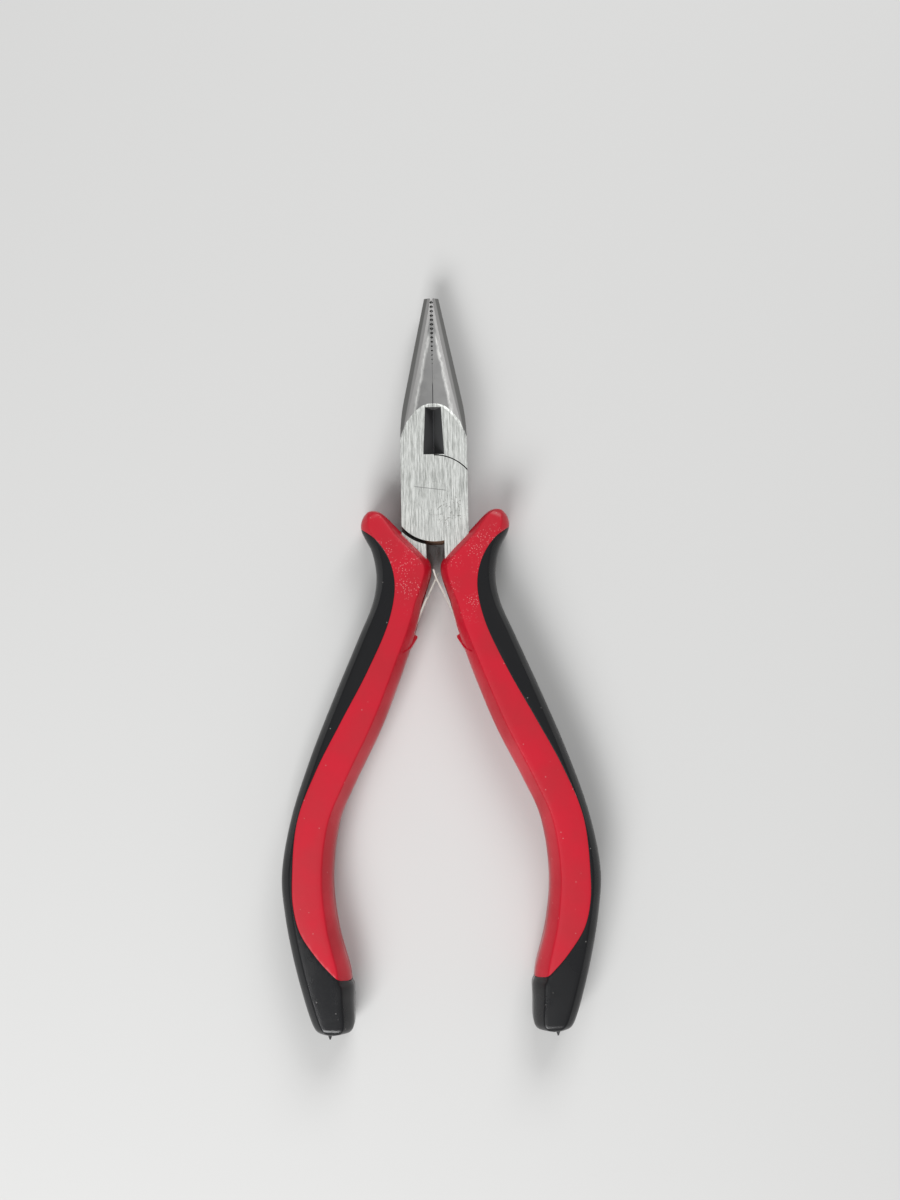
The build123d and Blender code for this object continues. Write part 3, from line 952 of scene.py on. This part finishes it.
def combine(piece, tool, operation):
    """Applies an exact boolean to a piece and removes the tool."""
    modifier = piece.modifiers.new("combine", "BOOLEAN")
    modifier.operation = operation
    modifier.object = tool
    modifier.solver = "EXACT"
    apply_modifiers(piece)
    bpy.data.objects.remove(tool)


# %% [markdown]
# The ledge is part of the sleeve's facet, so its top and bottom slope like the facet. The window
# is as high as the leaf is wide, with some room on both sides.

# %% Ledge and window of the red sleeve
WINDOW_ROOM = 0.2
LEDGE_ROOT = (6.0, 4.4)  # where it leaves the sleeve, and its half thickness there
LEDGE = [(4.5, -23.9), (3.5, -24.4), (3.6, -24.8), (4.75, -26.6), (6.0, -27.5), (6.0, -23.5)]
WINDOW = [(-2, -8), (1.95, -8), (1.95, -11), (4.9, -23.9), (-2, -23.9)]

ledge = prism("ledge", LEDGE, -1, 1)
for corner in ledge.data.vertices:
    half = LEDGE_ROOT[1] - FACET_STEEP * (LEDGE_ROOT[0] - corner.co.x / MM)
    corner.co.z = (MID + math.copysign(half, corner.co.z)) * MM
combine(red_right, ledge, "UNION")
leaf_half = (leaf_high.z - leaf_low.z) / 2 + WINDOW_ROOM
combine(red_right, prism("window", WINDOW, MID - leaf_half, MID + leaf_half), "DIFFERENCE")
print("red sleeve with window:", len(red_right.data.polygons), "faces")

# %% [markdown]
# Under the black end a small stub is left where the plastic entered the mould. It is a short
# cone that narrows downward, and its top is sunk in the grip so that the two join cleanly.

# %% Gate stub on the black end
STUB_TOP, STUB_DROP = 1.2, 1.1  # mm above and below the end of the grip
STUB_RADII = (0.9, 0.12)
STUB_PLACE = Vector((REACH * 0.715, GRIP_END + (STUB_TOP - STUB_DROP) / 2, MID + 1.6))
stub = bmesh.new()
bmesh.ops.create_cone(
    stub,
    cap_ends=True,
    segments=20,
    radius1=STUB_RADII[0] * MM,
    radius2=STUB_RADII[1] * MM,
    depth=(STUB_DROP + STUB_TOP) * MM,
    matrix=Matrix.Translation(STUB_PLACE * MM) @ Matrix.Rotation(math.radians(90), 4, "X"),
)
combine(black_right, to_piece("stub", stub), "UNION")
for piece in (red_right, black_right):
    shade_smooth(piece)
print("black with stub:", len(black_right.data.polygons), "faces")


# %% [markdown]
# The left-hand grip is the same moulding turned over, which is its mirror image. A mirrored
# mesh is inside out, so its faces are flipped back. Each colour then rides on the lever that
# carries it and takes the place of the frame's plain piece.

# %% Mirror, finish and attach the grips
CRISP = math.radians(32)  # an edge that turns more than this stays sharp


def mirrored(piece, name):
    data = piece.data.copy()
    data.name = name
    data.transform(Matrix.Diagonal((-1, 1, 1, 1)))
    data.flip_normals()
    return add_to_scene(name, data)


red_left = mirrored(red_right, "left_grip_red")
black_left = mirrored(black_right, "left_grip_black")
for piece, material, body, node, slot in (
    (red_right, RED, "front_lever", "right_grip_core", "red_plastic"),
    (black_right, BLACK, "front_lever", "right_grip_cover", "black_plastic"),
    (red_left, RED, "back_lever", "left_grip_core", "red_plastic"),
    (black_left, BLACK, "back_lever", "left_grip_cover", "black_plastic"),
):
    paint(piece, material)
    piece.data.set_sharp_from_angle(angle=CRISP)
    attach(piece, body)
    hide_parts(node)
    print(piece.name, "rides on", body)


# %% [markdown]
# ## Leaf springs
#
# Each leaf is a strip that follows a bent path, so Geometry Nodes sweep a rectangle along the
# path. The rectangle stands upright because the curve's normal is set to Z.

# %% Geometry Nodes: a strip along a path
def strip_tree():
    tree = new_group(
        "strip_along_path",
        [
            ("Path", "Geometry", None),
            ("Thickness", "Float", 0.35 * MM),
            ("Width", "Float", 5.0 * MM),
            ("Spacing", "Float", 0.25 * MM),
            ("Material", "Material", None),
        ],
        [("Strip", "Geometry")],
        tree="GeometryNodeTree",
    )
    start, end = group_ends(tree)
    given = start.outputs
    g = Graph(tree)
    path = g.add("GeometryNodeMeshToCurve", {0: given["Path"]})
    even = g.add("GeometryNodeResampleCurve", {"Curve": path}, mode="LENGTH")
    g.feed(even.inputs["Length"], given["Spacing"])
    level = g.add("GeometryNodeSetCurveNormal", {0: even}, mode="Z_UP")
    sides = {"Width": given["Thickness"], "Height": given["Width"]}
    section = g.add("GeometryNodeCurvePrimitiveQuadrilateral", sides)
    sweep = {"Curve": level, "Profile Curve": section, "Fill Caps": True}
    swept = g.add("GeometryNodeCurveToMesh", sweep)
    real = g.add("GeometryNodeRealizeInstances", {0: swept})
    painted = g.add("GeometryNodeSetMaterial", {0: real, "Material": given["Material"]})
    g.feed(end.inputs[0], painted)
    return tree


STRIP_TREE = strip_tree()
print("group", STRIP_TREE.name, "with", len(STRIP_TREE.nodes), "nodes")


def sweep_strip(name, path, sizes):
    """A mesh strip along a path of points in mm, at the middle of the tool's thickness."""
    data = bpy.data.meshes.new(name)
    points = [Vector((px, py, MID)) * MM for px, py in path]
    data.from_pydata(points, [(k, k + 1) for k in range(len(points) - 1)], [])
    piece = add_to_scene(name, data)
    modifier = piece.modifiers.new("strip", "NODES")
    modifier.node_group = STRIP_TREE
    for socket in STRIP_TREE.interface.items_tree:
        if socket.name in sizes:
            modifier[socket.identifier] = sizes[socket.name]
    apply_modifiers(piece)
    return piece


# %% [markdown]
# The two leaves cross in the middle of the tool. One has a slot, and the other narrows to a
# tongue that passes through it. Both start at a foot on their own tang, and both are cut from
# the swept strip with prisms.

# %% The two leaves
LEAF_CROSSING = 14.06
SLOT_FROM, SLOT_TO = -17.6, -13.06
TONGUE = 1.8
CLEAR = 4  # mm; a cutting prism reaches well past the strip
LEAF_SIZES = {"Thickness": 0.28 * MM, "Width": 5.0 * MM, "Spacing": 0.25 * MM, "Material": STRIP}
LOWER_HALF = [
    (7.15, -30.5),  # the end of the foot
    (5.8, -27.5),
    (4.45, -24.5),  # the top of the foot
    (3.78, -22.4),
    (2.98, -20.5),
    (1.5, -17.2),
    (0, -LEAF_CROSSING),
]


def box_prism(name, y_low, y_high, z_low, z_high):
    outline = [(-CLEAR, y_low), (CLEAR, y_low), (CLEAR, y_high), (-CLEAR, y_high)]
    return prism(name, outline, z_low, z_high)


right_leaf = sweep_strip("right_leaf", smooth([*LOWER_HALF, (-0.46, -12.56)]), LEAF_SIZES)
slot_half = TONGUE / 2 + WINDOW_ROOM
hole = box_prism("slot", SLOT_FROM, SLOT_TO, MID - slot_half, MID + slot_half)
combine(right_leaf, hole, "DIFFERENCE")

left_path = smooth([*LOWER_HALF, (-0.45, -13.09)]) * (-1, 1)
left_leaf = sweep_strip("left_leaf", left_path, LEAF_SIZES)
for z_low, z_high in ((MID + TONGUE / 2, MID + CLEAR), (MID - CLEAR, MID - TONGUE / 2)):
    combine(left_leaf, box_prism("waste", SLOT_FROM, 0, z_low, z_high), "DIFFERENCE")
print("leaves:", len(right_leaf.data.polygons), "and", len(left_leaf.data.polygons), "faces")

# %% [markdown]
# A leaf bends when the handles open: its foot stays on its own tang, and its free end is pushed
# half-way along with the other handle. Here each strip is welded, painted and fixed in place, and
# it takes the place of the frame's plain leaf.

# %% Weld and paint the leaves
for piece, node, own, other in (
    (right_leaf, "right_leaf_spring", "front_lever", "back_lever"),
    (left_leaf, "left_leaf_spring", "back_lever", "front_lever"),
):
    mesh = bmesh.new()
    mesh.from_mesh(piece.data)
    weld(mesh)
    mesh.to_mesh(piece.data)
    mesh.free()
    paint(piece, STRIP)
    piece.data.set_sharp_from_angle(angle=CRISP)
    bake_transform(piece)
    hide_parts(node)
    print(piece.name, len(piece.data.polygons), "faces")

# %% [markdown]
# ## Floor, light and camera
#
# The tool lies on a pale matt table. The table is part of the stage and not of the tool.

# %% Floor
FLOOR_HALF = 5.0  # m
floor_data = bpy.data.meshes.new("floor")
signs = ((-1, -1), (1, -1), (1, 1), (-1, 1))
corners = [(sx * FLOOR_HALF, sy * FLOOR_HALF, cad_low.z) for sx, sy in signs]
floor_data.from_pydata(corners, [], [(0, 1, 2, 3)])
floor = add_to_scene("floor", floor_data)
matt = bpy.data.materials.new("floor")
matt.use_nodes = True
shader = matt.node_tree.nodes["Principled BSDF"]
shader.inputs["Base Color"].default_value = (0.58, 0.58, 0.575, 1)
shader.inputs["Roughness"].default_value = 0.9
paint(floor, matt)
print("floor at", round(cad_low.z / MM, 2), "mm")


# %% [markdown]
# Two broad soft lights stand beyond the handles and beyond the jaws, well above the table. The
# broad front faces catch both of them, while the facets along the sides face neither and fall
# darker, which draws the form. A weak even sky fills the shadows.

# %% Lights
LIGHT_AIM = Vector((0, -0.03, 0))
SKY = 0.3


def soft_light(name, place, size, power):
    data = bpy.data.lights.new(name, "AREA")
    data.shape = "RECTANGLE"
    data.size, data.size_y = size
    data.energy = power
    light = add_to_scene(name, data)
    light.location = place
    aim = LIGHT_AIM - Vector(place)
    light.rotation_euler = aim.to_track_quat("-Z", "Y").to_euler()
    print(name, "light:", power, "W")


soft_light("key", (-0.15, -0.40, 0.42), (0.30, 0.30), 3.05)
soft_light("fill", (0.12, 0.42, 0.42), (0.34, 0.34), 2.2)
world = bpy.data.worlds.new("studio")
bpy.context.scene.world = world
world.use_nodes = True
background = world.node_tree.nodes["Background"]
background.inputs["Color"].default_value = (1.0, 1.0, 1.0, 1)
background.inputs["Strength"].default_value = SKY

# %% [markdown]
# The camera looks almost straight down on the tool, a little from the handle end. Its lens is
# worked out from the distance and from the height that the view has to span, so that the two
# can be changed without any other number. The Standard view transform keeps the red pure.

# %% Camera
DISTANCE = 330.0  # from the front of the tool, mm
TILT = math.radians(3.4)  # towards the handle end
ROLL = math.radians(1.05)
AIM = Vector((2.42, -18.2, HEAD_THICK))
VIEW_HEIGHT = 213.1  # what the picture's height spans at the aim point, mm
SENSOR = 36

camera_data = bpy.data.cameras.new("camera")
camera_data.sensor_width = SENSOR
camera_data.lens = SENSOR * DISTANCE / VIEW_HEIGHT
camera_data.clip_start = 0.01
camera = add_to_scene("camera", camera_data)
backward = Vector((0, -math.sin(TILT), math.cos(TILT)))
upward = Vector((math.sin(ROLL), math.cos(ROLL), 0))
right = upward.cross(backward).normalized()
upward = backward.cross(right).normalized()
turn = Matrix((right, upward, backward)).transposed().to_4x4()
camera.matrix_world = Matrix.Translation((AIM + backward * DISTANCE) * MM) @ turn
bpy.context.scene.camera = camera
bpy.context.scene.view_settings.view_transform = "Standard"
print("lens:", round(camera_data.lens, 1), "mm")
